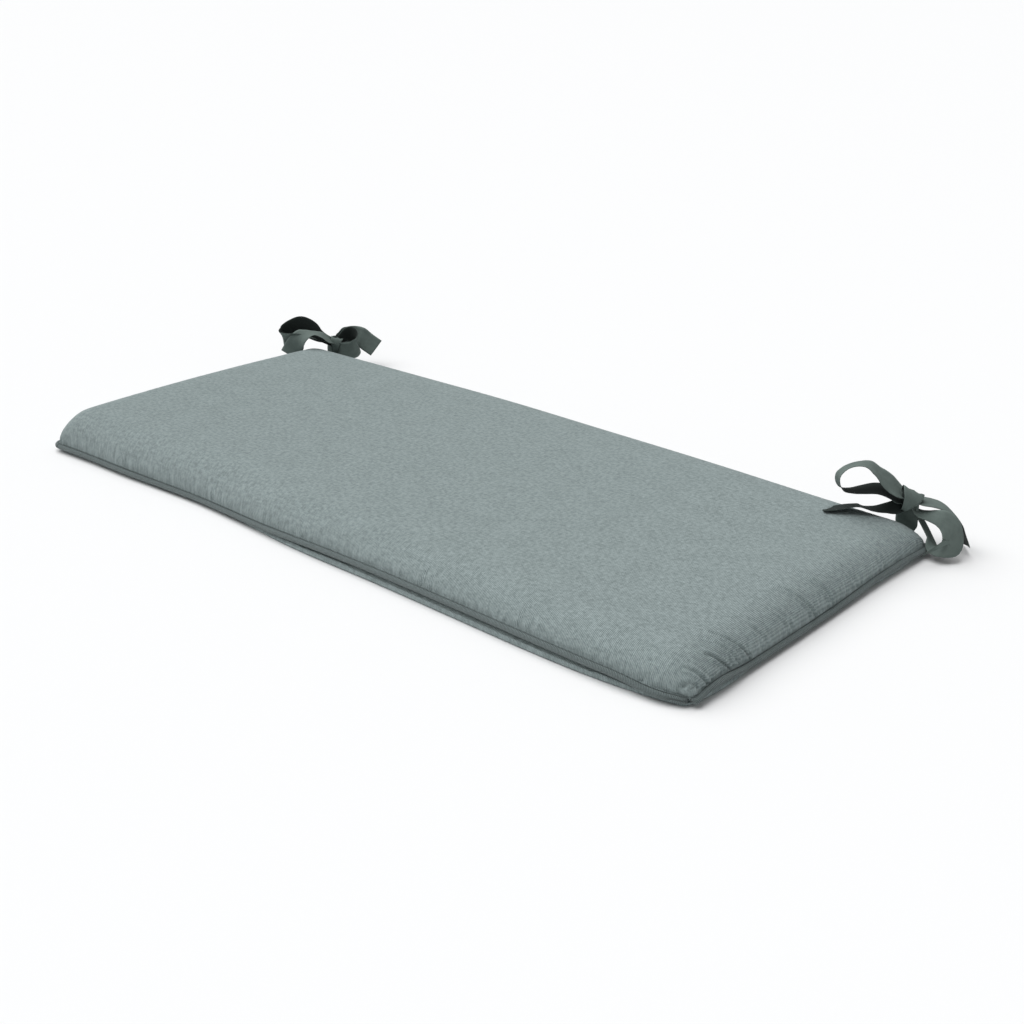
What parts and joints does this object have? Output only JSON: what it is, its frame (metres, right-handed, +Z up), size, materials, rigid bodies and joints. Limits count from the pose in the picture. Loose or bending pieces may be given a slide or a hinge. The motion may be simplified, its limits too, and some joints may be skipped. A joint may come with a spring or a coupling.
{
  "type": "bench cushion",
  "caption": "Long rectangular bench seat cushion with a softly filled crown, a piped seam all round and ribbon ties bowed at the back corners.",
  "frame": {"origin": "middle of the flat underside, at the middle of the overall length and width", "axes": "+X along the bench, +Z up out of the underside, +Y towards the back edge, which has the ties"},
  "size_m": [1.1618, 0.577, 0.109],
  "materials": {
    "cover": "matt heathered weave with a fine rib",
    "piping": "matt bias-cut weave over a cord",
    "ribbon": "smooth dense woven ribbon"
  },
  "bodies": {
    "root": {"pad": "cover", "piping": "piping", "tie_left": "ribbon", "tie_right": "ribbon"}
  },
  "joints": []
}
